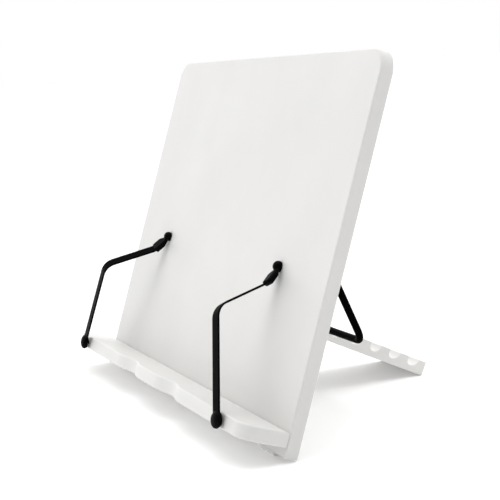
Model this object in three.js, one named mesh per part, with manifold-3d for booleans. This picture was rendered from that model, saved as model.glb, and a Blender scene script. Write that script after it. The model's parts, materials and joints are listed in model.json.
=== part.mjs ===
// Folding tabletop drawing and reading board: a painted board with a ledge, held up by a
// hinged, notched leg and a wire bail, with two swivelling arms that hold the sheets.
// Millimetres, +Z up, +X to the right of a person facing the board, +Y away from that person.
import * as THREE from "three";
import { mergeVertices } from "three/addons/utils/BufferGeometryUtils.js";
import Module from "manifold-3d";

const wasm = await Module();
wasm.setup();

// ---------------------------------------------------------------- driving dimensions
const LEAN = 19.3; // board, degrees back from upright
const BOARD = { width: 340, height: 240, thick: 9, corner: 15, ease: 1.2 };
const LEDGE = { bottom: 6, thick: 9, deep: 30, corner: 12, ease: 1.1 };
const SCALLOP = { x: 41, halfWidth: 25, deep: 5 };
const LIFT = 0.5; // the board's back corner stands this far above the table on its pads
const PAD = { x: 138, width: 26, deep: 6.4 };
const GAP = 0.1; // between pieces that touch
const CLEAR = 0.3; // between a shaft and its hole

const HINGE = { s: 83.4, offset: 2.6, width: 50, leaf: 18, thick: 1.2, knuckle: 2.3, pin: 1 };
const LEG = { slope: 26.4, width: 60, start: 2, end: 152, thick: 10, corner: 2, ease: 0.6 };
const NOTCH = { first: 59.2, pitch: 16, count: 6, deep: 3, radius: 2.7, reach: 6.3 };

const ROD = 2.4; // radius of the bail wire
const BAIL = { halfWidth: 99.5, s: 136, offset: 3.2, tail: 16, topBend: 6, bend: 8 };
const CLIP = { x: 89.1, width: 8, reach: 12.5, thick: 1, screw: 8.6 };

const HOLDER = { x: 102.5, s: 104.3, swing: 22, ball: 3.5, ballAt: 1.4 };
const SLEEVE = { neck: 5.4, width: 9.6, thick: 4.2, full: 7, end: 13.7, sag: 0.5 };
const STRIP = {
  start: 7.2,
  width: 8.2,
  thick: 1.2,
  elbow: [12.7, 8.65], // down the arm, and out from the board's face
  bend: [34.4, 40.3],
  tip: [101.2, 33.3],
  radii: [3, 11],
};
const TIP = { width: 10, thick: 5.6, length: 10.4 };

const WOOD_SCREW = { head: 3.4, sink: 2.4, shank: 1.6, length: 26 };
const LEAF_SCREW = { head: 2.6, sink: 1.5, shank: 1.2, length: 7.5 };
const CLIP_SCREW = { head: 2.5, raised: 1.3, shank: 1.2, length: 8 };
const PIVOT_SCREW = { head: 3.5, raised: 2, shank: 1.7, length: 9.5 };
const PIVOT_POCKET = { radius: 5.4, deep: 3.4 };
const WASHER = { outer: 4.9, inner: 2.1, thick: 0.8 };

// ---------------------------------------------------------------- materials
const finish = (color, roughness, metalness) =>
  new THREE.MeshStandardMaterial({ color, roughness, metalness });
const PAINT = () => finish(0xeeede9, 0.55, 0);
const BLACK_STEEL = () => finish(0x141414, 0.4, 0.6);
const ZINC = () => finish(0xb4b6b8, 0.35, 0.9);
const BLACK_PLASTIC = () => finish(0x101010, 0.5, 0);
const BLACK_RUBBER = () => finish(0x0d0d0d, 0.8, 0);
const PALE_RUBBER = () => finish(0xe4e4e0, 0.6, 0);

// ---------------------------------------------------------------- solids
// A closed three.js geometry as a solid whose faces point outwards.
function solid(geometry, matrix = new THREE.Matrix4()) {
  const bare = new THREE.BufferGeometry();
  const open = geometry.index ? geometry.toNonIndexed() : geometry;
  bare.setAttribute("position", open.getAttribute("position").clone());
  bare.applyMatrix4(matrix);
  const merged = mergeVertices(bare, 1e-4);
  const build = (triVerts) =>
    new wasm.Manifold(
      new wasm.Mesh({
        numProp: 3,
        vertProperties: merged.attributes.position.array,
        triVerts,
      }),
    );
  const made = build(new Uint32Array(merged.index.array));
  return made.volume() > 0
    ? made
    : build(new Uint32Array(merged.index.array).reverse());
}

const join = (...parts) => parts.reduce((a, b) => a.add(b));
const cut = (body, ...tools) => tools.reduce((a, b) => a.subtract(b), body);

function piece(group, name, body, material) {
  const mesh = body.getMesh();
  const geometry = new THREE.BufferGeometry();
  geometry.setAttribute("position", new THREE.BufferAttribute(mesh.vertProperties, 3));
  geometry.setIndex(new THREE.BufferAttribute(mesh.triVerts, 1));
  const flat = geometry.toNonIndexed();
  flat.computeVertexNormals();
  const made = new THREE.Mesh(flat, material);
  made.name = name;
  group.add(made);
}

const at = (x, y, z) => new THREE.Matrix4().makeTranslation(x, y, z);
const rad = THREE.MathUtils.degToRad;

const box = (x0, x1, y0, y1, z0, z1) =>
  solid(
    new THREE.BoxGeometry(x1 - x0, y1 - y0, z1 - z0),
    at((x0 + x1) / 2, (y0 + y1) / 2, (z0 + z1) / 2),
  );

// A slab from z0 to z1 with its outline in x, y and its edges rounded over; small metal
// plates get their edges broken by a single flat.
function slab(shape, z0, z1, ease, matrix) {
  const small = ease < 0.5;
  const geometry = new THREE.ExtrudeGeometry(shape, {
    depth: z1 - z0 - 2 * ease,
    curveSegments: small ? 4 : 10,
    bevelSize: ease,
    bevelThickness: ease,
    bevelOffset: -ease,
    bevelSegments: small ? 1 : 3,
  });
  return solid(geometry.translate(0, 0, z0 + ease), matrix);
}

// A bar along X from x0 to x1; its outline is drawn in y, z.
function barX(shape, x0, x1) {
  const geometry = new THREE.ExtrudeGeometry(shape, {
    depth: x1 - x0,
    bevelEnabled: false,
    curveSegments: 14,
  });
  const turn = new THREE.Matrix4().makeBasis(
    new THREE.Vector3(0, 1, 0),
    new THREE.Vector3(0, 0, 1),
    new THREE.Vector3(1, 0, 0),
  );
  return solid(geometry, at(x0, 0, 0).multiply(turn));
}

const polygon = (points) => new THREE.Shape(points.map((p) => new THREE.Vector2(...p)));

// A turned solid about Z; its profile of [radius, z] starts and ends on the axis.
function turned(profile, segments, matrix) {
  const points = profile.map((p) => new THREE.Vector2(...p));
  return solid(new THREE.LatheGeometry(points, segments).rotateX(Math.PI / 2), matrix);
}

const rodX = (radius, x0, x1, y, z, segments = 20) =>
  solid(
    new THREE.CylinderGeometry(radius, radius, x1 - x0, segments).rotateZ(Math.PI / 2),
    at((x0 + x1) / 2, y, z),
  );

// ---------------------------------------------------------------- bent bars
// A path through corners, each rounded to its own radius, that keeps only the knots it needs.
class BentPath extends THREE.Curve {
  constructor(corners, radii, arcSteps) {
    super();
    const last = corners.length - 1;
    const dir = corners.slice(1).map((p, i) => p.clone().sub(corners[i]).normalize());
    this.knots = [[corners[0].clone(), dir[0]]];
    for (let i = 1; i < last; i++) {
      const [a, b] = [dir[i - 1], dir[i]];
      const turn = a.angleTo(b);
      const inward = b.clone().sub(a).normalize();
      const centre = corners[i].clone().addScaledVector(inward, radii[i - 1] / Math.cos(turn / 2));
      for (let k = 0; k <= arcSteps; k++) {
        const share = k / arcSteps;
        const along = a
          .clone()
          .multiplyScalar(Math.sin((1 - share) * turn))
          .addScaledVector(b, Math.sin(share * turn))
          .normalize();
        const out = inward.clone().addScaledVector(along, -inward.dot(along)).normalize();
        if (share === 0.5) out.copy(inward);
        this.knots.push([centre.clone().addScaledVector(out, -radii[i - 1]), along]);
      }
    }
    this.knots.push([corners[last].clone(), dir[last - 1]]);
    this.steps = this.knots.length - 1;
  }
  getPointAt(t) {
    return this.knots[Math.round(t * this.steps)][0].clone();
  }
  getTangentAt(t) {
    return this.knots[Math.round(t * this.steps)][1].clone();
  }
}

function bar(section, path) {
  return solid(
    new THREE.ExtrudeGeometry(section, { steps: path.steps, extrudePath: path, curveSegments: 3 }),
  );
}

function roundSection(radius) {
  const points = new THREE.EllipseCurve(0, 0, radius, radius).getPoints(14).slice(0, -1);
  return new THREE.Shape(points);
}

// A rectangle centred on 0, 0 with rounded corners.
function plate(width, height, corner) {
  const [x, y] = [width / 2 - corner, height / 2 - corner];
  const shape = new THREE.Shape();
  [[x, y], [-x, y], [-x, -y], [x, -y]].forEach(([cx, cy], i) =>
    shape.absarc(cx, cy, corner, (i * Math.PI) / 2, ((i + 1) * Math.PI) / 2),
  );
  return shape;
}

// ---------------------------------------------------------------- screws
// Each screw points down -Z from a face at z = 0; grow makes the same shape as a hole for it.
function countersunk({ head, sink, shank, length }, grow, matrix) {
  const top = grow ? 0.6 : -GAP;
  const profile = [
    [0, top],
    [head + grow, top],
    [head + grow, -0.3],
    [shank + grow, -sink],
    [shank + grow, -length + 1.5],
    [0.3 + grow, -length - grow],
    [0, -length - grow],
  ];
  return turned(profile, 16, matrix);
}

function panHead({ head, raised, shank, length }, grow, matrix) {
  const profile = grow
    ? [[0, raised], [shank + grow, raised], [shank + grow, -length - grow], [0, -length - grow]]
    : [
        [0, raised],
        [head * 0.6, raised],
        [head, raised * 0.45],
        [head, GAP],
        [shank, GAP],
        [shank, -length],
        [0, -length],
      ];
  return turned(profile, 16, matrix);
}

const crossSlot = (arm, top, deep, matrix) =>
  join(
    solid(new THREE.BoxGeometry(2 * arm, 0.8, 2 * deep), matrix.clone().multiply(at(0, 0, top))),
    solid(new THREE.BoxGeometry(0.8, 2 * arm, 2 * deep), matrix.clone().multiply(at(0, 0, top))),
  );

// ---------------------------------------------------------------- frames
const root = new THREE.Group();
const stand = new THREE.Group(); // origin on the table under the board's back corner
root.add(stand);

function frame(name, origin, x, y, parent = stand) {
  const group = new THREE.Group();
  const [ax, ay] = [new THREE.Vector3(...x), new THREE.Vector3(...y)];
  const turn = new THREE.Matrix4().makeBasis(ax, ay, ax.clone().cross(ay));
  group.applyMatrix4(at(...origin).multiply(turn));
  group.name = name;
  parent.add(group);
  return group;
}

const [leanSin, leanCos] = [Math.sin(rad(LEAN)), Math.cos(rad(LEAN))];
const up = [leanSin, leanCos]; // y, z of the way up the board
const out = [-leanCos, leanSin]; // y, z of the way out of its front face
// A point's y, z: s up the board from its bottom edge, m in front of its front face.
const onBoard = (s, m) => [
  s * up[0] + (m + BOARD.thick) * out[0],
  s * up[1] + (m + BOARD.thick) * out[1] + LIFT,
];
// Board frame: x across, y up the board, z out of the front face.
const boardFrame = frame("board_frame", [0, ...onBoard(0, 0)], [1, 0, 0], [0, ...up]);
// On the back face at x, s, with z out of the back.
const onBack = (x, s) => at(x, s, -BOARD.thick).multiply(new THREE.Matrix4().makeRotationY(Math.PI));

const along = [Math.cos(rad(LEG.slope)), -Math.sin(rad(LEG.slope))];
const above = [Math.sin(rad(LEG.slope)), Math.cos(rad(LEG.slope))];
const hingePin = onBoard(HINGE.s, -BOARD.thick - HINGE.offset);
// Leg frame: y down the leg from under the hinge pin, z up out of its top face.
const legOrigin = [0, 1].map((i) => hingePin[i] - HINGE.offset * above[i]);
const legFrame = frame("leg_frame", [0, ...legOrigin], [1, 0, 0], [0, ...along]);

const bailPivot = onBoard(BAIL.s, -BOARD.thick - BAIL.offset);
const seat = [0, 1].map((i) => legOrigin[i] + NOTCH.first * along[i] - NOTCH.deep * above[i]);
const reach = Math.hypot(seat[0] - bailPivot[0], seat[1] - bailPivot[1]);
const drop = [0, 1].map((i) => (seat[i] - bailPivot[i]) / reach);
// Bail frame: y down its arms from the pivot to the crossbar.
const bailFrame = frame("bail_frame", [0, ...bailPivot], [1, 0, 0], [0, ...drop]);

// ---------------------------------------------------------------- board
function boardShape({ width, height, corner }) {
  const [w, foot] = [width / 2, 1.4];
  const shape = new THREE.Shape();
  shape.absarc(w - foot, foot, foot, -Math.PI / 2, 0);
  shape.absarc(w - corner, height - corner, corner, 0, Math.PI / 2);
  shape.absarc(corner - w, height - corner, corner, Math.PI / 2, Math.PI);
  shape.absarc(foot - w, foot, foot, Math.PI, 1.5 * Math.PI);
  return shape;
}

const sides = [["left", -1], ["right", 1]];
const ledgeScrews = [["left", -120], ["middle", 0], ["right", 120]];
const ledgeScrewAt = (x) => onBack(x, LEDGE.bottom + LEDGE.thick / 2);
const hingeScrewX = HINGE.width / 2 - 8;
const leafScrewAt = HINGE.leaf * 0.62;
const clipScrews = [["lower", -1], ["upper", 1]];

const boardHoles = [];
for (const [, x] of ledgeScrews) boardHoles.push(countersunk(WOOD_SCREW, CLEAR, ledgeScrewAt(x)));
for (const [, side] of sides) {
  boardHoles.push(
    countersunk(LEAF_SCREW, CLEAR, onBack(side * hingeScrewX, HINGE.s + leafScrewAt)
      .multiply(at(0, 0, HINGE.thick + GAP))),
  );
  for (const [, end] of clipScrews)
    boardHoles.push(
      panHead(CLIP_SCREW, CLEAR, onBack(side * CLIP.x, BAIL.s + end * CLIP.screw)
        .multiply(at(0, 0, CLIP.thick + GAP))),
    );
  const pocket = PIVOT_POCKET;
  const pivot = onBack(side * HOLDER.x, HOLDER.s);
  boardHoles.push(
    turned([[0, 1], [pocket.radius, 1], [pocket.radius, -pocket.deep], [0, -pocket.deep]], 24, pivot),
    turned([[0, 1], [2.1, 1], [2.1, -BOARD.thick - 1], [0, -BOARD.thick - 1]], 20, pivot),
  );
}
piece(
  boardFrame,
  "board",
  cut(slab(boardShape(BOARD), -BOARD.thick, 0, BOARD.ease), ...boardHoles),
  PAINT(),
);

// ---------------------------------------------------------------- ledge
// The outline is drawn in x and in m, the distance in front of the board.
function ledgeShape() {
  const { deep, corner } = LEDGE;
  const w = BOARD.width / 2;
  const shape = new THREE.Shape();
  shape.moveTo(-w, GAP);
  shape.lineTo(w, GAP);
  shape.absarc(w - corner, deep - corner, corner, 0, Math.PI / 2);
  const rise = (k) => deep - (SCALLOP.deep / 2) * (1 + Math.cos(k * Math.PI));
  for (const centre of [SCALLOP.x, -SCALLOP.x])
    for (let k = 1; k >= -1.001; k -= 0.125) shape.lineTo(centre + k * SCALLOP.halfWidth, rise(k));
  shape.absarc(corner - w, deep - corner, corner, Math.PI / 2, Math.PI);
  return shape;
}

const lay = new THREE.Matrix4().makeRotationX(Math.PI / 2); // x, m, -s to x, s, m
piece(
  boardFrame,
  "ledge",
  cut(
    slab(ledgeShape(), -LEDGE.bottom - LEDGE.thick, -LEDGE.bottom, LEDGE.ease, lay),
    ...ledgeScrews.map(([, x]) => countersunk(WOOD_SCREW, CLEAR, ledgeScrewAt(x))),
  ),
  PAINT(),
);
for (const [name, x] of ledgeScrews)
  piece(
    boardFrame,
    `ledge_screw_${name}`,
    cut(countersunk(WOOD_SCREW, 0, ledgeScrewAt(x)), crossSlot(2, 0, 1.3, ledgeScrewAt(x))),
    ZINC(),
  );

// ---------------------------------------------------------------- pads under the board
// Wedges that fill the space between the tilted bottom edge and the table.
const padTop = (y) => LIFT - GAP - y * (leanSin / leanCos);
const padFront = -PAD.deep - 0.4;
for (const [name, side] of sides) {
  const outline = polygon([
    [-0.4, 0],
    [-0.4, padTop(-0.4)],
    [padFront, padTop(padFront)],
    [padFront, 0.8],
    [padFront + 0.6, 0],
  ]);
  const [x0, x1] = [side * PAD.x - PAD.width / 2, side * PAD.x + PAD.width / 2];
  piece(stand, `board_pad_${name}`, barX(outline, x0, x1), PALE_RUBBER());
}

// ---------------------------------------------------------------- leg
// A notch has an upright wall towards the hinge, a floor rounded to hold the bail and one wide
// arc that rises towards the leg's end.
function notchShape(centre) {
  const { radius, deep, reach: far } = NOTCH;
  const floor = deep + radius;
  const wide = (far * far + floor * floor) / (2 * floor);
  const shape = new THREE.Shape();
  shape.moveTo(centre - radius, 2);
  shape.lineTo(centre - radius, -deep);
  shape.absarc(centre, -deep, radius, Math.PI, 1.5 * Math.PI);
  shape.absarc(centre, wide - floor, wide, -Math.PI / 2, Math.asin((floor - wide) / wide));
  shape.lineTo(centre + far, 2);
  return shape;
}

function legShape() {
  const { width, start, end, corner } = LEG;
  const w = width / 2;
  const shape = new THREE.Shape();
  shape.moveTo(-w, start);
  shape.lineTo(w, start);
  shape.absarc(w - corner, end - corner, corner, 0, Math.PI / 2);
  shape.absarc(corner - w, end - corner, corner, Math.PI / 2, Math.PI);
  return shape;
}

const legScrewAt = (side) => at(side * hingeScrewX, leafScrewAt, HINGE.thick + GAP);
const notches = Array.from({ length: NOTCH.count }, (_, i) =>
  barX(notchShape(NOTCH.first + i * NOTCH.pitch), -LEG.width, LEG.width),
);
// The lower corner of the leg's free end is cut level with the table and stands on it.
const tableZ = (y) => (-y * along[1] - legOrigin[1]) / above[1];
const [nearEnd, pastEnd] = [LEG.end - 8, LEG.end + 8];
const table = polygon([
  [nearEnd, -2 * LEG.thick],
  [pastEnd, -2 * LEG.thick],
  [pastEnd, tableZ(pastEnd)],
  [nearEnd, tableZ(nearEnd)],
]);
piece(
  legFrame,
  "leg",
  cut(
    slab(legShape(), -LEG.thick, 0, LEG.ease),
    ...notches,
    ...sides.map(([, side]) => countersunk(LEAF_SCREW, CLEAR, legScrewAt(side))),
    barX(table, -LEG.width, LEG.width),
  ),
  PAINT(),
);

// ---------------------------------------------------------------- hinge
// A leaf lies on the face z = 0 from under the pin; its knuckles fill the given spans of x.
function leaf(spans, screwHoles) {
  const { offset, width, leaf: length, thick, knuckle, pin } = HINGE;
  const clearY = knuckle + 0.5;
  const flat = slab(
    plate(width, length - clearY, 2),
    GAP,
    thick + GAP,
    0.2,
    at(0, (length + clearY) / 2, 0),
  );
  const rolled = spans.flatMap(([x0, x1]) => [
    rodX(knuckle, x0, x1, 0, offset),
    box(x0, x1, 0, length / 2, GAP + 0.2, thick + GAP),
  ]);
  return cut(
    join(flat, ...rolled),
    rodX(pin + 0.25, -width, width, 0, offset),
    ...screwHoles,
  );
}

const third = HINGE.width / 6;
const middleSpan = [[-third + 0.2, third - 0.2]];
const outerSpans = [[-HINGE.width / 2, -third - 0.2], [third + 0.2, HINGE.width / 2]];
const hingeFrame = frame("hinge_frame", [0, HINGE.s, -BOARD.thick], [-1, 0, 0], [0, 1, 0], boardFrame);
const leafHoles = sides.map(([, side]) => countersunk(LEAF_SCREW, CLEAR, legScrewAt(side)));
piece(hingeFrame, "hinge_leaf_board", leaf(outerSpans, leafHoles), ZINC());
piece(legFrame, "hinge_leaf_leg", leaf(middleSpan, leafHoles), ZINC());
const leafScrew = (side) =>
  cut(countersunk(LEAF_SCREW, 0, legScrewAt(side)), crossSlot(1.5, 0, 0.8, legScrewAt(side)));
for (const [name, side] of sides) {
  piece(hingeFrame, `hinge_screw_board_${name}`, leafScrew(-side), ZINC());
  piece(legFrame, `hinge_screw_leg_${name}`, leafScrew(side), ZINC());
}
const pinEnd = HINGE.width / 2 + 0.3;
const pinProfile = [
  [0, -pinEnd - 0.9],
  [1.5, -pinEnd - 0.9],
  [1.7, -pinEnd],
  [HINGE.pin, -pinEnd],
  [HINGE.pin, pinEnd],
  [1.7, pinEnd],
  [1.5, pinEnd + 0.9],
  [0, pinEnd + 0.9],
];
const alongX = at(0, 0, HINGE.offset).multiply(new THREE.Matrix4().makeRotationY(Math.PI / 2));
piece(hingeFrame, "hinge_pin", turned(pinProfile, 18, alongX), ZINC());

// ---------------------------------------------------------------- bail and its clips
const bailCorners = [];
for (const [, side] of [...sides].reverse()) {
  const ends = [
    [BAIL.halfWidth - BAIL.tail, 0],
    [BAIL.halfWidth, 0],
    [BAIL.halfWidth, reach],
  ].map(([x, y]) => new THREE.Vector3(side * x, y, 0));
  bailCorners.push(...(side > 0 ? ends : ends.reverse()));
}
const bailRadii = [BAIL.topBend, BAIL.bend, BAIL.bend, BAIL.topBend];
piece(bailFrame, "bail", bar(roundSection(ROD), new BentPath(bailCorners, bailRadii, 8)), BLACK_STEEL());

function clipBody() {
  const { width, reach: ear, thick } = CLIP;
  const [x0, x1] = [-width / 2, width / 2];
  const inner = ROD + CLEAR;
  const outer = inner + thick;
  return cut(
    join(
      slab(plate(width, 2 * ear, 2), GAP, thick + GAP, 0.2),
      rodX(outer, x0, x1, 0, BAIL.offset, 28),
      box(x0, x1, -outer, outer, GAP, BAIL.offset),
    ),
    rodX(inner, x0 - 1, x1 + 1, 0, BAIL.offset, 28),
    box(x0 - 1, x1 + 1, -inner, inner, -1, BAIL.offset),
    ...clipScrews.map(([, end]) =>
      panHead(CLIP_SCREW, CLEAR, at(0, end * CLIP.screw, CLIP.thick + GAP)),
    ),
  );
}

for (const [name, side] of sides) {
  const clipFrame = frame(
    `clip_frame_${name}`,
    [side * CLIP.x, BAIL.s, -BOARD.thick],
    [-1, 0, 0],
    [0, 1, 0],
    boardFrame,
  );
  piece(clipFrame, `bail_clip_${name}`, clipBody(), BLACK_STEEL());
  for (const [end, sign] of clipScrews) {
    const place = at(0, sign * CLIP.screw, CLIP.thick + GAP);
    piece(
      clipFrame,
      `clip_screw_${name}_${end}`,
      cut(panHead(CLIP_SCREW, 0, place), crossSlot(1.5, CLIP_SCREW.raised, 0.8, place)),
      ZINC(),
    );
  }
}

// ---------------------------------------------------------------- sheet holders
// Holder frame: y down the board along the arm, z out of the board, x across the strip.
const toVector = ([y, z]) => new THREE.Vector3(0, y, z);
const ballCentre = [0, HOLDER.ballAt];
const rootLine = toVector(STRIP.elbow).sub(toVector(ballCentre)).normalize();
const onRoot = (distance) => toVector(ballCentre).addScaledVector(rootLine, distance);
const socket = () =>
  solid(new THREE.SphereGeometry(HOLDER.ball + CLEAR, 20, 14), at(...onRoot(0).toArray()));

function ballBody() {
  const { ball, ballAt } = HOLDER;
  const profile = [[0, GAP]];
  const low = Math.asin((GAP - ballAt) / ball);
  for (let k = 0; k <= 9; k++) {
    const angle = low + ((Math.PI / 2 - low) * k) / 9;
    profile.push([k === 9 ? 0 : ball * Math.cos(angle), ballAt + ball * Math.sin(angle)]);
  }
  return cut(turned(profile, 24), turned([[0, -1], [2, -1], [2, 3.3], [0, 3.3]], 16));
}

function stripBody() {
  const corners = [onRoot(STRIP.start), toVector(STRIP.elbow), toVector(STRIP.bend), toVector(STRIP.tip)];
  const path = new BentPath(corners, STRIP.radii, 8);
  return bar(plate(STRIP.width, STRIP.thick, 0.3), path);
}

// The sleeve widens from a neck that cups the ball and sags a little below the strip in it.
function sleeveBody() {
  const { neck, width, thick, full, end, sag } = SLEEVE;
  const below = new THREE.Vector3(0, rootLine.z, -rootLine.y).multiplyScalar(sag);
  const slice = (from, to, wide, high) => {
    const ends = [onRoot(from).add(below), onRoot(to).add(below)];
    return bar(plate(wide, high, high * 0.42), new BentPath(ends, [], 1));
  };
  const slot = plate(STRIP.width + 2 * CLEAR, STRIP.thick + 2 * CLEAR, 0.3);
  return cut(
    join(slice(HOLDER.ball - 1.3, HOLDER.ball, neck, thick * 0.7), slice(full, end, width, thick)).hull(),
    bar(slot, new BentPath([onRoot(STRIP.start - CLEAR), onRoot(end + 2)], [], 1)),
    socket(),
  );
}

// The tip is a rounded cap pushed onto the strip's end.
function tipBody() {
  const [bend, tip] = [toVector(STRIP.bend), toVector(STRIP.tip)];
  const line = tip.clone().sub(bend).normalize();
  const turn = new THREE.Matrix4().makeBasis(
    new THREE.Vector3(1, 0, 0),
    line,
    new THREE.Vector3(1, 0, 0).cross(line),
  );
  const place = at(...tip.toArray()).multiply(turn);
  const cap = new THREE.SphereGeometry(1, 20, 14).scale(TIP.width / 2, TIP.length / 2, TIP.thick / 2);
  const slot = new THREE.BoxGeometry(STRIP.width + 2 * CLEAR, 12, STRIP.thick + 2 * CLEAR);
  return cut(
    solid(cap, place),
    solid(slot, place.clone().multiply(at(0, -6 + CLEAR, 0))),
  );
}

for (const [name, side] of sides) {
  const swing = rad(HOLDER.swing) * side;
  const down = [Math.sin(swing), -Math.cos(swing), 0];
  const across = [down[1], -down[0], 0];
  const holder = frame(
    `holder_frame_${name}`,
    [side * HOLDER.x, HOLDER.s, 0],
    across,
    down,
    boardFrame,
  );
  piece(holder, `holder_knob_${name}`, ballBody(), BLACK_PLASTIC());
  piece(holder, `holder_sleeve_${name}`, sleeveBody(), BLACK_RUBBER());
  piece(holder, `holder_strip_${name}`, stripBody(), BLACK_STEEL());
  piece(holder, `holder_tip_${name}`, tipBody(), BLACK_RUBBER());

  const floor = onBack(side * HOLDER.x, HOLDER.s).multiply(at(0, 0, -PIVOT_POCKET.deep));
  const { outer, inner, thick } = WASHER;
  const seatTop = thick + 2 * GAP;
  const under = floor.clone().multiply(at(0, 0, seatTop));
  const hole = turned([[0, -1], [inner, -1], [inner, 2], [0, 2]], 16, floor);
  const disc = turned([[0, GAP], [outer, GAP], [outer, thick + GAP], [0, thick + GAP]], 24, floor);
  piece(boardFrame, `pivot_washer_${name}`, cut(disc, hole), ZINC());
  piece(
    boardFrame,
    `pivot_screw_${name}`,
    cut(panHead(PIVOT_SCREW, 0, under), crossSlot(2, PIVOT_SCREW.raised, 1.1, under)),
    ZINC(),
  );
}

// ---------------------------------------------------------------- origin
// The part's origin is the middle of its bounding box, on the table.
root.updateMatrixWorld(true);
const bounds = new THREE.Box3().setFromObject(root, true);
const middle = bounds.getCenter(new THREE.Vector3());
stand.position.set(-middle.x, -middle.y, -bounds.min.z);

export default root;
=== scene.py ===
"""Looks for the tabletop drawing board stand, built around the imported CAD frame.

Shapes are drawn in millimetres in the same local frames as the CAD source, then placed in
the row frame in metres. Every CAD node is replaced by a finer piece of the same size.
"""

import json
import math

import bmesh
import bpy
from mathutils import Matrix, Vector

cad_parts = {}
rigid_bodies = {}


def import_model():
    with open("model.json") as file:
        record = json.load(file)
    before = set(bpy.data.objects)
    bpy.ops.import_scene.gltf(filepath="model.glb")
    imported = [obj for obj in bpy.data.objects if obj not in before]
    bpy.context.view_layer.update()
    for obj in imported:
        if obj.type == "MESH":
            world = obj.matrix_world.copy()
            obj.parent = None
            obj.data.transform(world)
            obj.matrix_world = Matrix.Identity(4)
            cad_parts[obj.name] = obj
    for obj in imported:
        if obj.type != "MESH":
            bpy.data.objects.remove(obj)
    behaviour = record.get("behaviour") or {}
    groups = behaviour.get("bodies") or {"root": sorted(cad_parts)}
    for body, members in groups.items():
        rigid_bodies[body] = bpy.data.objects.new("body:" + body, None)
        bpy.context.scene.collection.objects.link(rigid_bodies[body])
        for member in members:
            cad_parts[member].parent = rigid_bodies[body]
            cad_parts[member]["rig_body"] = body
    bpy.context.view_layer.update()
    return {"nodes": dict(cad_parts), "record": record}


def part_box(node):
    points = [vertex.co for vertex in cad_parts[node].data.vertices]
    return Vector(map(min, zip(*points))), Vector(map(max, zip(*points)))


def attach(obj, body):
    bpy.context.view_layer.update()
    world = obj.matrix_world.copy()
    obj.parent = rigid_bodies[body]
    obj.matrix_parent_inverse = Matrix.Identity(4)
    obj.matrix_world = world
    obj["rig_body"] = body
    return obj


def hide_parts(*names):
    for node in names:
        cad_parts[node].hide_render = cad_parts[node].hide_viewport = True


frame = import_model()

# ---------------------------------------------------------------- dimensions, millimetres
MM = 0.001
LEAN = math.radians(19.3)
LIFT = 0.5
GAP = 0.1
CLEAR = 0.3
BOARD_W, BOARD_H, BOARD_T, BOARD_CORNER, BOARD_FOOT, BOARD_EASE = 340, 240, 9, 15, 1.4, 1.2
LEDGE_BOTTOM, LEDGE_T, LEDGE_DEEP, LEDGE_CORNER, LEDGE_EASE = 6, 9, 30, 12, 1.1
SCALLOP_X, SCALLOP_HALF, SCALLOP_DEEP = 41, 25, 5
PAD_X, PAD_W, PAD_DEEP, PAD_BACK = 138, 26, 6.4, 0.4
HINGE_S, HINGE_OFFSET, HINGE_W, LEAF, LEAF_T, KNUCKLE, PIN = 83.4, 2.6, 50, 18, 1.2, 2.3, 1
LEAF_SCREW_X, LEAF_SCREW_Y = HINGE_W / 2 - 8, LEAF * 0.62
LEG_SLOPE = math.radians(26.4)
LEG_W, LEG_START, LEG_END, LEG_T, LEG_CORNER, LEG_EASE = 60, 2, 152, 10, 2, 0.6
NOTCH_FIRST, NOTCH_PITCH, NOTCH_COUNT = 59.2, 16, 6
NOTCH_DEEP, NOTCH_R, NOTCH_REACH = 3, 2.7, 6.3
ROD = 2.4
BAIL_HALF, BAIL_S, BAIL_OFFSET, BAIL_TAIL, BAIL_TOP_BEND, BAIL_BEND = 99.5, 136, 3.2, 16, 6, 8
CLIP_X, CLIP_W, CLIP_REACH, CLIP_T, CLIP_CORNER, CLIP_EASE = 89.1, 8, 12.5, 1, 2, 0.2
CLIP_SCREW_AT = 8.6
HOLDER_X, HOLDER_S, HOLDER_SWING, BALL, BALL_AT = 102.5, 104.3, math.radians(22), 3.5, 1.4
STRIP_START, STRIP_W, STRIP_T = 7.2, 8.2, 1.2
ELBOW, BEND, STRIP_END = Vector((0, 12.7, 8.65)), Vector((0, 34.4, 40.3)), Vector((0, 101.2, 33.3))
STRIP_RADII = (3, 11)
SLEEVE_NECK, SLEEVE_W, SLEEVE_T, SLEEVE_FULL, SLEEVE_END, SLEEVE_SAG = 5.4, 9.6, 4.2, 7, 13.7, 0.5
TIP_W, TIP_T, TIP_L = 10, 5.6, 10.4
POCKET_R, POCKET_DEEP = 5.4, 3.4
WASHER_R, WASHER_HOLE, WASHER_T = 4.9, 2.1, 0.8
HOLE_DEEP = 7  # how far the screw holes in the board's back are drawn
WOOD_SCREW = {"radius": 3.4, "sink": 2.4, "shank": 1.6, "length": 26}
LEAF_SCREW = {"radius": 2.6, "sink": 1.5, "shank": 1.2, "length": 7.5}
CLIP_SCREW = {"radius": 2.5, "raised": 1.3, "shank": 1.2, "length": 8}
PIVOT_SCREW = {"radius": 3.5, "raised": 2.0, "shank": 1.7, "length": 9.5}

# ---------------------------------------------------------------- frames
# The pads' back edge lies a little in front of the CAD source's own origin.
stand_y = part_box("board_pad_left")[1].y + PAD_BACK * MM
TO_ROW = Matrix.Translation((0, stand_y, 0)) @ Matrix.Scale(MM, 4)
UP = Vector((0, math.sin(LEAN), math.cos(LEAN)))
OUT = Vector((0, -math.cos(LEAN), math.sin(LEAN)))
X = Vector((1, 0, 0))


def axes(origin, x, y):
    """A frame at origin with the given x and y directions."""
    z = x.cross(y)
    turn = Matrix((x, y, z)).transposed().to_4x4()
    return Matrix.Translation(origin) @ turn


def on_board(s, m):
    """The point s up the board from its bottom edge and m in front of its front face."""
    return UP * s + OUT * (m + BOARD_T) + Vector((0, 0, LIFT))


BOARD_FRAME = axes(on_board(0, 0), X, UP)


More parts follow.
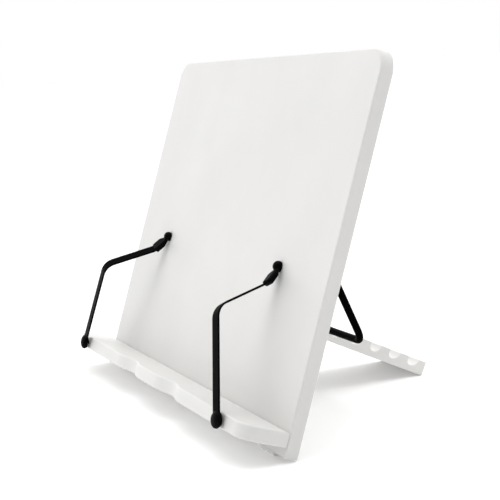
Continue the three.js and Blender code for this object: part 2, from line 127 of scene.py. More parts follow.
def on_back(x, s):
    """On the board's back face, with z out of the back."""
    return BOARD_FRAME @ Matrix.Translation((x, s, -BOARD_T)) @ Matrix.Rotation(math.pi, 4, "Y")


ALONG = Vector((0, math.cos(LEG_SLOPE), -math.sin(LEG_SLOPE)))
ABOVE = Vector((0, math.sin(LEG_SLOPE), math.cos(LEG_SLOPE)))
leg_origin = on_board(HINGE_S, -BOARD_T - HINGE_OFFSET) - ABOVE * HINGE_OFFSET
LEG_FRAME = axes(leg_origin, X, ALONG)
HINGE_FRAME = on_back(0, HINGE_S)
bail_pivot = on_board(BAIL_S, -BOARD_T - BAIL_OFFSET)
bail_seat = leg_origin + ALONG * NOTCH_FIRST - ABOVE * NOTCH_DEEP
BAIL_REACH = (bail_seat - bail_pivot).length
BAIL_FRAME = axes(bail_pivot, X, (bail_seat - bail_pivot).normalized())


def holder_frame(side):
    swing = HOLDER_SWING * side
    down = X * math.sin(swing) - UP * math.cos(swing)
    return axes(on_board(HOLDER_S, 0) + X * (side * HOLDER_X), down.cross(OUT), down)


# ---------------------------------------------------------------- shapes
def arc(cx, cy, radius, start, end, steps):
    """Points of a circular arc, angles in degrees."""
    for k in range(steps + 1):
        angle = math.radians(start + (end - start) * k / steps)
        yield Vector((cx + radius * math.cos(angle), cy + radius * math.sin(angle)))


def circle(cx, cy, radius):
    """A circle as an outline of 24 points."""
    return [*arc(cx, cy, radius, 0, 345, 23)]


def rounded(corners, steps=4):
    """A closed outline through (x, y, radius) corners, each rounded over."""
    points = []
    count = len(corners)
    for i, (x, y, radius) in enumerate(corners):
        here = Vector((x, y))
        before = Vector(corners[i - 1][:2]) - here
        after = Vector(corners[(i + 1) % count][:2]) - here
        if radius <= 0 or before.length < 1e-6 or after.length < 1e-6:
            points.append(here)
            continue
        before.normalize()
        after.normalize()
        half = before.angle(after) / 2
        reach = radius / math.tan(half)
        start, end = here + before * reach, here + after * reach
        centre = here + (before + after).normalized() * (radius / math.sin(half))
        a, b = start - centre, end - centre
        turn = a.angle(b)
        for k in range(steps + 1):
            share = k / steps
            points.append(
                centre
                + (a * math.sin((1 - share) * turn) + b * math.sin(share * turn)) / math.sin(turn)
            )
    return points


def inset(outline, distance):
    """The outline, which runs anticlockwise, moved inwards by a distance."""
    count = len(outline)
    moved = []
    for i, p in enumerate(outline):
        before = (p - outline[i - 1]).normalized()
        after = (outline[(i + 1) % count] - p).normalized()
        inward = Vector((-before.y - after.y, before.x + after.x)).normalized()
        share = max(0.4, inward.dot(Vector((-before.y, before.x))))
        moved.append(p + inward * (distance / share))
    return moved


def loft(rings):
    """A closed solid through rings of points, capped at both ends."""
    bm = bmesh.new()
    loops = [[bm.verts.new(p) for p in ring] for ring in rings]
    count = len(loops[0])
    for a, b in zip(loops, loops[1:]):
        for i in range(count):
            j = (i + 1) % count
            bm.faces.new((a[i], a[j], b[j], b[i]))
    bm.faces.new(loops[0][::-1])
    bm.faces.new(loops[-1])
    bmesh.ops.remove_doubles(bm, verts=bm.verts, dist=1e-4)
    bmesh.ops.recalc_face_normals(bm, faces=bm.faces)
    return bm


def levels(low, high, ease, steps):
    """(position, inset) pairs that round both ends of an extrusion over."""
    turns = [math.pi / 2 * k / steps for k in range(steps + 1)]
    rise = [(ease * (1 - math.cos(a)), ease * (1 - math.sin(a))) for a in turns]
    return [(low + d, i) for d, i in rise] + [(high - d, i) for d, i in reversed(rise)]


def slab(outline, low, high, ease, steps=4):
    """An outline in x, y from low to high in z, its edges rounded over."""
    return loft(
        [
            [Vector((p.x, p.y, z)) for p in inset(outline, i)]
            for z, i in levels(low, high, ease, steps)
        ]
    )


def bar_x(outline, low, high, ease, steps=3):
    """An outline in y, z from low to high in x, its ends rounded over."""
    return loft(
        [
            [Vector((x, p.x, p.y)) for p in inset(outline, i)]
            for x, i in levels(low, high, ease, steps)
        ]
    )


def turned(profile, segments=32):
    """A solid turned about z from (radius, z) points."""
    rings = [
        [
            Vector((r * math.cos(t), r * math.sin(t), z))
            for t in (2 * math.pi * k / segments for k in range(segments))
        ]
        for r, z in ((max(r, 1e-5), z) for r, z in profile)
    ]
    return loft(rings)


def placed(bm, matrix):
    bm.transform(matrix)
    return bm


def cuboid(x, y, z):
    """A cutter box of half sizes x, y, z about the origin."""
    return bar_x([Vector(p) for p in ((-y, -z), (y, -z), (y, z), (-y, z))], -x, x, 0.01, 1)


def as_object(name, bm):
    mesh = bpy.data.meshes.new(name)
    bm.to_mesh(mesh)
    bm.free()
    made = bpy.data.objects.new(name, mesh)
    bpy.context.scene.collection.objects.link(made)
    return made


def combined(bm, others, operation):
    """The solid joined with, or cut by, each of the others."""
    body = as_object("work", bm)
    for other in others:
        tool = as_object("tool", other)
        step = body.modifiers.new("step", "BOOLEAN")
        step.operation = operation
        step.solver = "EXACT"
        step.object = tool
        bpy.context.view_layer.update()
        graph = bpy.context.evaluated_depsgraph_get()
        result = bpy.data.meshes.new_from_object(body.evaluated_get(graph))
        body.modifiers.clear()
        body.data = result
        bpy.data.objects.remove(tool)
    made = bmesh.new()
    made.from_mesh(body.data)
    bpy.data.objects.remove(body)
    return made


def cut(bm, *others):
    return combined(bm, others, "DIFFERENCE")


def join(bm, *others):
    return combined(bm, others, "UNION")


def bent_path(corners, radii, steps):
    """(point, direction) knots along a line through corners, each rounded over."""
    directions = [(b - a).normalized() for a, b in zip(corners, corners[1:])]
    knots = [(corners[0], directions[0])]
    for corner, radius, a, b in zip(corners[1:], radii, directions, directions[1:]):
        turn = a.angle(b)
        inward = (b - a).normalized()
        centre = corner + inward * (radius / math.cos(turn / 2))
        side = a.cross(b).normalized()
        first = -side.cross(a).normalized()
        for k in range(steps + 1):
            spin = Matrix.Rotation(turn * k / steps, 3, side)
            knots.append((centre + spin @ first * radius, spin @ a))
    knots.append((corners[-1], directions[-1]))
    return knots


def sweep(section, knots, side):
    """A section of (across, thick) points along a flat path; side is the across direction."""
    rings = []
    for point, direction in knots:
        thick = side.cross(direction).normalized()
        rings.append([point + side * p.x + thick * p.y for p in section])
    return loft(rings)


def plate(width, height, corner, steps=4):
    x, y = width / 2, height / 2
    return rounded([(x, -y, corner), (x, y, corner), (-x, y, corner), (-x, -y, corner)], steps)


# ---------------------------------------------------------------- node trees
def shader(name, roughness, metallic=0.0, specular=0.5):
    """A new material with its tree, a small helper that adds nodes, and the shader."""
    made = bpy.data.materials.new(name)
    made.use_nodes = True
    tree = made.node_tree
    surface = tree.nodes["Principled BSDF"]
    surface.inputs["Roughness"].default_value = roughness
    surface.inputs["Metallic"].default_value = metallic
    surface.inputs["Specular IOR Level"].default_value = specular

    def add(kind, inputs=(), **settings):
        node = tree.nodes.new(kind)
        for key, value in settings.items():
            setattr(node, key, value)
        for key, value in dict(inputs).items():
            if isinstance(value, bpy.types.NodeSocket):
                tree.links.new(value, node.inputs[key])
            else:
                node.inputs[key].default_value = value
        return node

    return made, add, surface


def spread(add, value, low, high, out_low, out_high):
    """value from low to high, carried over to out_low to out_high and held there."""
    node = add(
        "ShaderNodeMapRange",
        {"Value": value, "From Min": low, "From Max": high, "To Min": out_low, "To Max": out_high},
        clamp=True,
    )
    return node.outputs["Result"]


def mixed(add, share, a, b, blend="MIX"):
    node = add("ShaderNodeMix", data_type="RGBA", blend_type=blend)
    tree = node.id_data
    for socket, value in ((node.inputs[0], share), (node.inputs[6], a), (node.inputs[7], b)):
        if isinstance(value, bpy.types.NodeSocket):
            tree.links.new(value, socket)
        else:
            socket.default_value = value
    return node.outputs[2]


def noise(add, vector, scale, detail=3.0, rough=0.55):
    node = add(
        "ShaderNodeTexNoise",
        {"Vector": vector, "Scale": scale, "Detail": detail, "Roughness": rough},
    )
    return node.outputs["Fac"]


def coordinates(add, turn=(0, 0, 0), stretch=(1, 1, 1)):
    place = add("ShaderNodeTexCoord").outputs["Object"]
    node = add("ShaderNodeMapping", {"Vector": place, "Rotation": turn, "Scale": stretch})
    return node.outputs["Vector"]


def grey(value, tint=(1, 1, 1)):
    return (value * tint[0], value * tint[1], value * tint[2], 1)


def bumped(add, surface, layers):
    """Stacks (height, distance in metres, strength) layers into the shader's normal."""
    normal = None
    for height, distance, strength in layers:
        inputs = {"Height": height, "Distance": distance, "Strength": strength}
        if normal:
            inputs["Normal"] = normal
        normal = add("ShaderNodeBump", inputs).outputs["Normal"]
    surface.id_data.links.new(normal, surface.inputs["Normal"])


def link(surface, name, output):
    surface.id_data.links.new(output, surface.inputs[name])


WARM = (1.0, 0.992, 0.972)


def lacquer(name, turn, white=0.69):
    """Satin white lacquer over fibreboard. turn lays its z along the piece's length."""
    made, add, surface = shader(name, 0.42, specular=0.45)
    even = coordinates(add)
    streaked = coordinates(add, turn, (260, 260, 9))
    cloud = noise(add, even, 14, 4)
    streak = noise(add, streaked, 1, 5, 0.6)
    speck = noise(add, even, 2600, 2)
    clouded = spread(add, cloud, 0.35, 0.65, 0, 1)
    tone = mixed(add, clouded, grey(white, WARM), grey(white * 0.975, WARM))
    tone = mixed(add, spread(add, streak, 0.5, 0.72, 0, 0.35), tone, grey(white * 0.985, WARM))
    # Painted shade: within 3.5 mm of other surfaces, such as where the ledge meets the board, the
    # colour is darkened towards a warm grey.
    shade_occlusion = add("ShaderNodeAmbientOcclusion", {"Distance": 0.0035}, samples=6)
    painted_crease_shade = spread(add, shade_occlusion.outputs["AO"], 0.35, 0.95, 0.16, 0)
    tone = mixed(add, painted_crease_shade, tone, grey(0.45, (1, 0.97, 0.92)))
    edge = add("ShaderNodeAmbientOcclusion", {"Distance": 0.0011}, samples=6, inside=True)
    wear = spread(add, edge.outputs["AO"], 0.45, 0.75, 1, 0)
    patch = spread(add, noise(add, even, 60, 5), 0.52, 0.72, 0, 0.35)
    worn = add("ShaderNodeMath", {0: wear, 1: patch}, operation="MULTIPLY").outputs[0]
    tone = mixed(add, worn, tone, grey(0.64, (1, 0.96, 0.9)))
    link(surface, "Base Color", tone)
    link(surface, "Roughness", spread(add, cloud, 0.3, 0.7, 0.38, 0.50))
    bumped(
        add,
        surface,
        [(streak, 0.00004, 0.35), (noise(add, even, 900, 2), 0.00003, 0.3), (speck, 0.00001, 0.25)],
    )
    return made


def powder_coat():
    """Semi-gloss black powder coat with a fine pebbled skin, rubbed a little on its edges."""
    made, add, surface = shader("black_powder_coat", 0.36, specular=0.006)
    even = coordinates(add)
    cloud = noise(add, even, 45, 4)
    tone = mixed(add, cloud, grey(0.0008), grey(0.0016, (1, 1, 1.05)))
    edge = add("ShaderNodeAmbientOcclusion", {"Distance": 0.0005}, samples=6, inside=True)
    wear = spread(add, edge.outputs["AO"], 0.4, 0.7, 1, 0)
    patch = spread(add, noise(add, even, 180, 5), 0.5, 0.7, 0, 0.5)
    worn = add("ShaderNodeMath", {0: wear, 1: patch}, operation="MULTIPLY").outputs[0]
    link(surface, "Base Color", mixed(add, worn, tone, grey(0.004)))
    link(surface, "Roughness", spread(add, cloud, 0.3, 0.7, 0.32, 0.44))
    bumped(add, surface, [(noise(add, even, 2400, 2), 0.00002, 0.5), (cloud, 0.0001, 0.1)])
    return made


def moulded(name, value, roughness, grain, strength, specular=0.03):
    """Moulded plastic or rubber with a spark-eroded grain and faint dust."""
    made, add, surface = shader(name, roughness, specular=specular)
    even = coordinates(add)
    cloud = noise(add, even, 120, 4)
    tone = mixed(add, cloud, grey(value * 0.8), grey(value * 1.3))
    dust = spread(add, noise(add, even, 320, 6, 0.7), 0.58, 0.8, 0, 0.18)
    link(surface, "Base Color", mixed(add, dust, tone, grey(value * 5)))
    link(surface, "Roughness", spread(add, cloud, 0.3, 0.7, roughness - 0.05, roughness + 0.07))
    bumped(add, surface, [(noise(add, even, grain, 3), 0.00004, strength)])
    return made


def zinc():
    """Bright zinc plating with rolled streaks and a faint cloudy bloom."""
    made, add, surface = shader("zinc_plate", 0.32, metallic=1.0)
    even = coordinates(add)
    rolled = coordinates(add, (0, 0, 0), (60, 2200, 2200))
    streak = noise(add, rolled, 1, 4)
    cloud = noise(add, even, 90, 4)
    tone = mixed(add, cloud, grey(0.56, (1, 1.01, 1.03)), grey(0.66, (1, 1, 0.99)))
    # Painted shade: within 1.2 mm of other surfaces, in crevices and under heads, the colour is
    # darkened by up to half towards dark grey.
    shade_occlusion = add("ShaderNodeAmbientOcclusion", {"Distance": 0.0012}, samples=6)
    tone = mixed(add, spread(add, shade_occlusion.outputs["AO"], 0.3, 0.9, 0.5, 0), tone, grey(0.16))
    link(surface, "Base Color", tone)
    link(surface, "Roughness", spread(add, streak, 0.3, 0.7, 0.24, 0.42))
    bumped(add, surface, [(streak, 0.00002, 0.3), (cloud, 0.00005, 0.15)])
    return made


finishes = {
    "white_board": lacquer("white_lacquer", (-LEAN, 0, 0)),
    "black_steel": powder_coat(),
    "black_plastic": moulded("black_plastic", 0.0012, 0.34, 1400, 0.3),
    "black_rubber": moulded("black_rubber", 0.0016, 0.48, 1900, 0.5),
    "pale_rubber": moulded("pale_rubber", 0.76, 0.6, 1200, 0.6, specular=0.4),
    "zinc_steel": zinc(),
}
# Painted light: the leg and the ledge carry the board's own lacquer painted lighter, 0.78 and 0.71
# against the board's 0.69, in place of light that falls on them.
leg_lacquer_painted_lighter = lacquer("white_lacquer_leg_painted_lighter", (math.pi / 2 + LEG_SLOPE, 0, 0), 0.78)
ledge_lacquer_painted_lighter = lacquer("white_lacquer_ledge_painted_lighter", (0, math.pi / 2, 0), 0.71)

# ---------------------------------------------------------------- pieces
slot_of = {row["node"]: row["material_slot"] for row in frame["record"]["subparts"]}


def piece(node, bm, matrix, material=None, crease=34):
    """A finished piece in a CAD node's place, on that node's body and in its slot."""
    bm.transform(TO_ROW @ matrix)
    bmesh.ops.recalc_face_normals(bm, faces=bm.faces)
    made = as_object(node + "_fine", bm)
    made.data.shade_smooth()
    made.data.set_sharp_from_angle(angle=math.radians(crease))
    weigh = made.modifiers.new("even_shading", "WEIGHTED_NORMAL")
    weigh.keep_sharp = True
    weigh.weight = 100
    made.data.materials.append(material or finishes[slot_of[node]])
    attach(made, frame["nodes"][node]["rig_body"])
    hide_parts(node)
    return made


def cross_slot(arm, deep):
    """The two bars of a cross recess, centred on z = 0."""
    return cuboid(arm, 0.4, deep), cuboid(0.4, arm, deep)


def pan_head(radius, raised, shank, length):
    """A domed screw with a cross recess, pointing down -z from a face at z = 0."""
    profile = [(0, raised)]
    for k in range(7):
        angle = math.pi / 2 * k / 6
        out, above = 0.6 + 0.4 * math.sin(angle), 0.5 + 0.5 * math.cos(angle)
        profile.append((radius * out, raised * above))
    profile += [(radius, 0.2), (radius - 0.15, GAP), (shank, GAP)]
    profile += [(shank, -length), (0, -length)]
    slots = [placed(c, Matrix.Translation((0, 0, raised))) for c in cross_slot(radius * 0.58, 1.0)]
    return cut(turned(profile), *slots)


def flat_head(radius, sink, shank, length):
    """A countersunk screw with a cross recess, its head just under z = 0."""
    profile = [(0, -GAP), (radius - 0.15, -GAP), (radius, -GAP - 0.12), (radius, -0.35)]
    profile += [(shank, -sink), (shank, -length + 1.5), (0.3, -length), (0, -length)]
    slots = [placed(c, Matrix.Translation((0, 0, -GAP))) for c in cross_slot(radius * 0.58, 0.9)]
    return cut(turned(profile), *slots)


SIDES = (("left", -1), ("right", 1))
LEDGE_SCREWS = (("left", -120), ("middle", 0), ("right", 120))


def ledge_screw_seat(x):
    return on_back(x, LEDGE_BOTTOM + LEDGE_T / 2)


# ---------------------------------------------------------------- board, ledge and pads
def board():
    """The board, with pockets for the pivot screws and sunk seats for the ledge screws."""
    w, top = BOARD_W / 2, BOARD_H - BOARD_CORNER
    outline = [
        *arc(w - BOARD_FOOT, BOARD_FOOT, BOARD_FOOT, -90, 0, 6),
        *arc(w - BOARD_CORNER, top, BOARD_CORNER, 0, 90, 20),
        *arc(BOARD_CORNER - w, top, BOARD_CORNER, 90, 180, 20),
        *arc(BOARD_FOOT - w, BOARD_FOOT, BOARD_FOOT, 180, 270, 6),
    ]
    to_board = BOARD_FRAME.inverted()
    head, shank = WOOD_SCREW["radius"] + CLEAR, WOOD_SCREW["shank"] + CLEAR
    sunk = [(0, 1), (head, 1), (head, -0.5), (shank, -WOOD_SCREW["sink"] - 0.2)]
    sunk += [(shank, -HOLE_DEEP), (0, -HOLE_DEEP)]
    cutters = [placed(turned(sunk), to_board @ ledge_screw_seat(x)) for _, x in LEDGE_SCREWS]
    chamfer = 0.3
    pocket = [(0, 1), (POCKET_R + chamfer, 1), (POCKET_R + chamfer, 0), (POCKET_R, -chamfer)]
    pocket += [(POCKET_R, -POCKET_DEEP), (WASHER_HOLE, -POCKET_DEEP)]
    pocket += [(WASHER_HOLE, -HOLE_DEEP), (0, -HOLE_DEEP)]
    for _, side in SIDES:
        cutters.append(placed(turned(pocket, 40), to_board @ on_back(side * HOLDER_X, HOLDER_S)))
    piece("board", cut(slab(outline, -BOARD_T, 0, BOARD_EASE, 5), *cutters), BOARD_FRAME)


def ledge():
    """The ledge, drawn in x and the distance in front of the board, and its screws."""
    w, d, c = BOARD_W / 2, LEDGE_DEEP, LEDGE_CORNER
    outline = [Vector((-w, GAP)), Vector((w, GAP)), *arc(w - c, d - c, c, 0, 90, 16)]
    for centre in (SCALLOP_X, -SCALLOP_X):
        for k in range(33):
            share = 1 - k / 16
            dip = SCALLOP_DEEP / 2 * (1 + math.cos(share * math.pi))
            outline.append(Vector((centre + share * SCALLOP_HALF, d - dip)))
    outline += arc(c - w, d - c, c, 90, 180, 16)
    lay = Matrix.Rotation(math.pi / 2, 4, "X")
    shelf = slab(outline, -LEDGE_BOTTOM - LEDGE_T, -LEDGE_BOTTOM, LEDGE_EASE, 5)
    piece("ledge", placed(shelf, lay), BOARD_FRAME, ledge_lacquer_painted_lighter)
    for name, x in LEDGE_SCREWS:
        piece("ledge_screw_" + name, flat_head(**WOOD_SCREW), ledge_screw_seat(x))


def pads():
    """Wedges between the board's tilted bottom edge and the table."""
    lean = math.tan(LEAN)
    back, front = -PAD_BACK, -PAD_DEEP - PAD_BACK
    corners = [
        (front + 0.6, 0, 0.3),
        (back, 0, 0.15),
        (back, LIFT - GAP - back * lean, 0.1),
        (front, LIFT - GAP - front * lean, 0.25),
        (front, 0.8, 0.3),
    ]
    for name, side in SIDES:
        x = side * PAD_X
        wedge = bar_x(rounded(corners), x - PAD_W / 2, x + PAD_W / 2, 0.12)
        piece("board_pad_" + name, wedge, Matrix())


# ---------------------------------------------------------------- leg
def on_table(y):
    """The height in the leg's frame at which the table lies, y along the leg."""
    return (-y * ALONG.z - leg_origin.z) / ABOVE.z


def leg_profile():
    """The leg's side in y, z, with its notches and the lower corner of its end cut level."""
    flat_start = (LEG_T * ABOVE.z - leg_origin.z) / ALONG.z
    corners = [
        (LEG_START, -LEG_T, LEG_EASE),
        (flat_start, -LEG_T, 0.15),
        (LEG_END, on_table(LEG_END), 0.15),
        (LEG_END, 0, LEG_EASE),
    ]
    floor_z = -NOTCH_DEEP - NOTCH_R
    wide = (NOTCH_REACH**2 + floor_z**2) / (-2 * floor_z)
    rim = math.degrees(math.asin((-floor_z - wide) / wide))
    for i in reversed(range(NOTCH_COUNT)):
        y = NOTCH_FIRST + i * NOTCH_PITCH
        corners.append((y + NOTCH_REACH, 0, LEG_EASE))
        rise = [*arc(y, floor_z + wide, wide, rim, -90, 14)][1:]
        corners += [(p.x, p.y, 0) for p in rise]
        corners += [(p.x, p.y, 0) for p in [*arc(y, -NOTCH_DEEP, NOTCH_R, 270, 180, 8)][1:]]
        corners.append((y - NOTCH_R, 0, LEG_EASE))
    corners.append((LEG_START, 0, LEG_EASE))
    return rounded(corners, 5)


def leg():
    """The leg runs across in x; stations near its sides draw its end's rounded corners."""
    outline = leg_profile()
    half = LEG_W / 2
    stations = levels(-half, half, 0.8 * LEG_EASE, 4)
    inner = [half - LEG_CORNER + k * (LEG_CORNER - LEG_EASE) / 5 for k in range(5)]
    stations = sorted(stations + [(s * v, 0) for s in (-1, 1) for v in inner])
    rings = []
    for x, i in stations:
        beyond = max(0, abs(x) - (half - LEG_CORNER))
        pull = LEG_CORNER - math.sqrt(max(0, LEG_CORNER**2 - beyond**2))
        rings.append([Vector((x, min(p.x, LEG_END - pull), p.y)) for p in inset(outline, i)])
    piece("leg", loft(rings), LEG_FRAME, leg_lacquer_painted_lighter)


# ---------------------------------------------------------------- hinge
def hinge_leaf(spans):
    """A leaf whose rolled knuckles fill the given spans of x."""
    clear_y = KNUCKLE + 0.5
    flat = slab(plate(HINGE_W, LEAF - clear_y, 2, 6), GAP, LEAF_T + GAP, 0.18, 2)
    placed(flat, Matrix.Translation((0, (LEAF + clear_y) / 2, 0)))
    low_z, high_z = GAP + 0.2, LEAF_T + GAP - 0.02
    rolled = []
    for low, high in spans:
        tongue = [(0, low_z), (LEAF / 2, low_z), (LEAF / 2, high_z), (0, high_z)]
        rolled.append(bar_x(circle(0, HINGE_OFFSET, KNUCKLE), low, high, 0.2, 2))
        rolled.append(bar_x([Vector(p) for p in tongue], low + 0.1, high - 0.1, 0.05, 1))
    head, shank = LEAF_SCREW["radius"] + CLEAR, LEAF_SCREW["shank"] + 0.2
    sink = LEAF_SCREW["sink"] + 0.2
    seat = [(0, 2), (head, 2), (head, -0.2), (shank, -sink), (0, -sink)]
    holes = [
        placed(turned(seat), Matrix.Translation((side * LEAF_SCREW_X, LEAF_SCREW_Y, LEAF_T + GAP)))
        for _, side in SIDES
    ]
    bore = bar_x(circle(0, HINGE_OFFSET, PIN + 0.25), -HINGE_W, HINGE_W, 0.01, 1)
    return cut(join(flat, *rolled), *holes, bore)


def hinge():
    """Two leaves, four sunk screws and a pin with a head at each end."""
    third = HINGE_W / 6
    outer_spans = [(-HINGE_W / 2, -third - 0.2), (third + 0.2, HINGE_W / 2)]
    piece("hinge_leaf_board", hinge_leaf(outer_spans), HINGE_FRAME)
    piece("hinge_leaf_leg", hinge_leaf([(-third + 0.2, third - 0.2)]), LEG_FRAME)
    for name, side in SIDES:
        for leaf, base, sign in (("board", HINGE_FRAME, -1), ("leg", LEG_FRAME, 1)):
            seat = Matrix.Translation((sign * side * LEAF_SCREW_X, LEAF_SCREW_Y, LEAF_T + GAP))
            piece(f"hinge_screw_{leaf}_{name}", flat_head(**LEAF_SCREW), base @ seat)
    end = HINGE_W / 2 + 0.3
    half_pin = [(PIN, end), (1.6, end), (1.72, end + 0.12), (1.66, end + 0.5)]
    half_pin += [(1.2, end + 0.82), (0, end + 0.9)]
    profile = [(r, -z) for r, z in reversed(half_pin)] + half_pin
    along_x = Matrix.Translation((0, 0, HINGE_OFFSET)) @ Matrix.Rotation(math.pi / 2, 4, "Y")
    piece("hinge_pin", turned(profile, 28), HINGE_FRAME @ along_x)


# ---------------------------------------------------------------- bail and its clips
def bail():
    """One bent wire, with its cut ends rounded off."""
    arm = [(BAIL_HALF - BAIL_TAIL, 0), (BAIL_HALF, 0), (BAIL_HALF, BAIL_REACH)]
    corners = [Vector((x, y, 0)) for x, y in arm]
    corners += [Vector((-x, y, 0)) for x, y in reversed(arm)]
    knots = bent_path(corners, (BAIL_TOP_BEND, BAIL_BEND, BAIL_BEND, BAIL_TOP_BEND), 14)
    wire = circle(0, 0, ROD)
    rounding = [(0, 0.55), (0.25, 0.8), (0.6, 0.95), (1.1, 1)]  # distance from the end, size
    (start, start_way), (stop, stop_way) = knots[0], knots[-1]
    head = [(start + start_way * d, start_way, size) for d, size in rounding]
    tail = [(stop - stop_way * d, stop_way, size) for d, size in reversed(rounding)]
    z = Vector((0, 0, 1))
    rings = []
    for point, direction, size in [*head, *[(p, way, 1) for p, way in knots[1:-1]], *tail]:
        across = z.cross(direction)
        rings.append([point + (across * p.x + z * p.y) * size for p in wire])
    piece("bail", loft(rings), BAIL_FRAME, crease=50)


def saddle():
    """A clip's outline in y, z: two flat ears and an arch over the wire."""
    inner, outer, top = ROD + CLEAR, ROD + CLEAR + CLIP_T, CLIP_T + GAP
    fillet, knee = 0.8, 0.25
    points = [(CLIP_REACH, GAP), (CLIP_REACH, top)]
    points += [(outer + fillet, top), (outer + knee, top + knee), (outer, top + fillet)]
    points += arc(0, BAIL_OFFSET, outer, 0, 180, 24)
    points += [(-outer, top + fillet), (-outer - knee, top + knee), (-outer - fillet, top)]
    points += [(-CLIP_REACH, top), (-CLIP_REACH, GAP), (-inner, GAP)]
    points += arc(0, BAIL_OFFSET, inner, 180, 0, 24)
    points.append((inner, GAP))
    return [Vector(p) for p in points]


def clip():
    """A pressed saddle with rounded corners on its ears."""
    outline = saddle()
    half = CLIP_W / 2
    flat = half - CLIP_CORNER
    stations = levels(-half, half, CLIP_EASE, 2)
    stations += [(s * (flat + 0.6 * k), 0) for s in (-1, 1) for k in range(3)]
    rings = []
    for x, i in sorted(stations):
        beyond = max(0, abs(x) - flat)
        pull = CLIP_CORNER - math.sqrt(CLIP_CORNER**2 - min(CLIP_CORNER**2, beyond**2))
        ring = []
        for p in inset(outline, i):
            at_end = abs(p.x) > CLIP_REACH - 1
            ring.append(Vector((x, p.x - math.copysign(pull, p.x) if at_end else p.x, p.y)))
        rings.append(ring)
    return loft(rings)


def clips():
    for name, side in SIDES:
        base = on_back(side * CLIP_X, BAIL_S)
        piece("bail_clip_" + name, clip(), base)
        for end, sign in (("lower", -1), ("upper", 1)):
            seat = Matrix.Translation((0, sign * CLIP_SCREW_AT, CLIP_T + GAP))
            piece(f"clip_screw_{name}_{end}", pan_head(**CLIP_SCREW), base @ seat)


# ---------------------------------------------------------------- sheet holders
ball_centre = Vector((0, 0, BALL_AT))
root_line = (ELBOW - ball_centre).normalized()
sleeve_down = root_line.cross(X)


def ball():
    """The knob: a ball with a small flat where it meets the board."""
    profile = [(0, GAP)]
    low = math.asin((GAP - BALL_AT) / BALL)
    for k in range(25):
        angle = low + (math.pi / 2 - low) * k / 24
        radius = BALL * math.cos(angle) if k < 24 else 0
        profile.append((radius, BALL_AT + BALL * math.sin(angle)))
    return turned(profile, 40)


def sleeve():
    """A flattened rubber tube: a neck that cups the ball, then full width to a soft end."""
    hug = BALL + 0.12
    rings = []
    for size in (0.35, 0.7, 0.95):
        neck = plate(SLEEVE_NECK * size, SLEEVE_T * 0.68 * size, 1.2 * size, 5)
        rings.append([(p, math.sqrt(hug**2 - p.length_squared)) for p in neck])
    widening = SLEEVE_W - SLEEVE_NECK
    thickening = SLEEVE_T * 0.3
    for distance, share in ((BALL + 0.5, 0.12), (4.9, 0.42), (5.9, 0.75), (SLEEVE_FULL, 1)):
        wide, thick = SLEEVE_NECK + widening * share, SLEEVE_T * 0.7 + thickening * share
        rings.append([(p, distance) for p in plate(wide, thick, thick * 0.42, 5)])
    for back, less in ((3, 0), (1, 0.05), (0.4, 0.15), (0.1, 0.5), (0, 1)):
        outline = plate(SLEEVE_W - less, SLEEVE_T - less, (SLEEVE_T - less) * 0.42, 5)
        rings.append([(p, SLEEVE_END - back) for p in outline])
    return loft(
        [
            [
                ball_centre + root_line * d + X * p.x + sleeve_down * (SLEEVE_SAG - p.y)
                for p, d in ring
            ]
            for ring in rings
        ]
    )


def strip():
    """A flat steel strip from inside the sleeve, bent out from the board and back to it."""
    corners = [ball_centre + root_line * STRIP_START, ELBOW, BEND, STRIP_END]
    return sweep(plate(STRIP_W, STRIP_T, 0.35, 3), bent_path(corners, STRIP_RADII, 14), X)


def tip():
    """A moulded cap over the strip's end: a swollen ellipsoid with slightly squared sides."""
    line = (STRIP_END - BEND).normalized()
    squared = 0.85
    rings = []
    for step in range(17):
        t = -1 + 2 * step / 16
        swell = max(0.12, math.sqrt(max(0, 1 - abs(t) ** 2.3)))
        ring = []
        for k in range(28):
            a = 2 * math.pi * k / 28
            x = math.copysign(abs(math.cos(a)) ** squared, math.cos(a)) * TIP_W / 2 * swell
            y = math.copysign(abs(math.sin(a)) ** squared, math.sin(a)) * TIP_T / 2 * swell
            ring.append(STRIP_END + line * (t * TIP_L / 2) + X * x + X.cross(line) * y)
        rings.append(ring)
    return loft(rings)


def washer():
    """A flat washer just above z = 0, its outer edges broken."""
    top = GAP + WASHER_T
    disc = [(0, GAP), (WASHER_R - 0.2, GAP), (WASHER_R, GAP + 0.15), (WASHER_R, top - 0.15)]
    disc += [(WASHER_R - 0.15, top), (0, top)]
    hole = [(0, -1), (WASHER_HOLE, -1), (WASHER_HOLE, 2), (0, 2)]
    return cut(turned(disc), turned(hole))


def holders():
    for name, side in SIDES:
        base = holder_frame(side)
        piece("holder_knob_" + name, ball(), base, crease=60)
        piece("holder_sleeve_" + name, sleeve(), base, crease=50)
        piece("holder_strip_" + name, strip(), base, crease=40)
        piece("holder_tip_" + name, tip(), base, crease=60)
        floor = on_back(side * HOLDER_X, HOLDER_S) @ Matrix.Translation((0, 0, -POCKET_DEEP))
        piece("pivot_washer_" + name, washer(), floor)
        under = floor @ Matrix.Translation((0, 0, WASHER_T + 2 * GAP))
        piece("pivot_screw_" + name, pan_head(**PIVOT_SCREW), under)


board()
ledge()
pads()
leg()
hinge()
bail()
clips()
holders()


# ---------------------------------------------------------------- floor, lights, camera
def link_object(name, data):
    made = bpy.data.objects.new(name, data)
    bpy.context.scene.collection.objects.link(made)
    return made


def studio_floor(half_size):
    """A plain pale floor, lit a little from within so that it reads as white."""
    mesh = bpy.data.meshes.new("floor")
    corners = [(x * half_size, y * half_size, 0) for x, y in ((-1, -1), (1, -1), (1, 1), (-1, 1))]
    mesh.from_pydata(corners, [], [(0, 1, 2, 3)])
    made, _, surface = shader("pale_floor", 0.9, specular=0.1)
    surface.inputs["Base Color"].default_value = grey(0.9)
    surface.inputs["Emission Color"].default_value = (1, 1, 1, 1)
    surface.inputs["Emission Strength"].default_value = 0.15
    mesh.materials.append(made)
    floor_plane = link_object("floor", mesh)


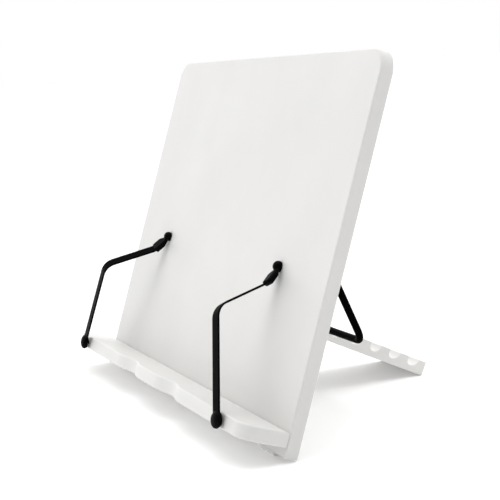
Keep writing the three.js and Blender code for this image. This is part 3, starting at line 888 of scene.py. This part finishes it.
def sky(towards, dimmest, brightest):
    """A white sky, brightest in one direction, that the camera itself sees as plain white."""
    world = bpy.data.worlds.new("studio")
    bpy.context.scene.world = world
    world.use_nodes = True
    tree = world.node_tree
    background = tree.nodes["Background"]
    direction = tree.nodes.new("ShaderNodeTexCoord")
    facing = tree.nodes.new("ShaderNodeVectorMath")
    facing.operation = "DOT_PRODUCT"
    facing.inputs[1].default_value = Vector(towards).normalized()
    tree.links.new(direction.outputs["Generated"], facing.inputs[0])
    dim = tree.nodes.new("ShaderNodeMapRange")
    limits = {"From Min": -0.9, "From Max": 0.35, "To Min": dimmest, "To Max": brightest}
    for key, value in limits.items():
        dim.inputs[key].default_value = value
    tree.links.new(facing.outputs["Value"], dim.inputs["Value"])
    ray = tree.nodes.new("ShaderNodeLightPath")
    seen = tree.nodes.new("ShaderNodeMix")
    tree.links.new(ray.outputs["Is Camera Ray"], seen.inputs[0])
    tree.links.new(dim.outputs["Result"], seen.inputs[2])
    seen.inputs[3].default_value = 1.0
    tree.links.new(seen.outputs[0], background.inputs["Strength"])
    background.inputs["Color"].default_value = (1, 1, 1, 1)


def sun(name, source, strength, spread_angle):
    light = bpy.data.lights.new(name, "SUN")
    light.energy = strength
    light.angle = math.radians(spread_angle)
    link_object(name, light).rotation_euler = Vector(source).to_track_quat("Z", "Y").to_euler()


def camera(place, azimuth, elevation, roll, lens):
    """A camera at place, looking back along the direction of azimuth and elevation."""
    made = link_object("camera", bpy.data.cameras.new("camera"))
    bpy.context.scene.camera = made
    made.data.sensor_width = 36
    made.data.lens = lens
    azimuth, elevation, roll = (math.radians(a) for a in (azimuth, elevation, roll))
    flat = math.cos(elevation)
    back = Vector((math.sin(azimuth) * flat, -math.cos(azimuth) * flat, math.sin(elevation)))
    level = Vector((0, 0, 1)).cross(back).normalized()
    lift = back.cross(level)
    right = level * math.cos(roll) + lift * math.sin(roll)
    turn = Matrix((right, back.cross(right), back)).transposed().to_4x4()
    made.matrix_world = Matrix.Translation(place) @ turn


studio_floor(half_size=40)
# The sky is brightest behind the board and to its left.
sky(towards=(-1, 0.4, 0.1), dimmest=0.18, brightest=1.36)
bpy.context.scene.view_settings.view_transform = "Standard"
sun("overhead", source=(0.05, 0, 1), strength=1.0, spread_angle=50)
sun("front", source=(0.1, -1, 0.7), strength=0.2, spread_angle=40)
camera_place = Vector((0.8617, stand_y - 0.2991, 0.2257))
camera(camera_place, azimuth=68.05, elevation=7.73, roll=-3.95, lens=98.3)
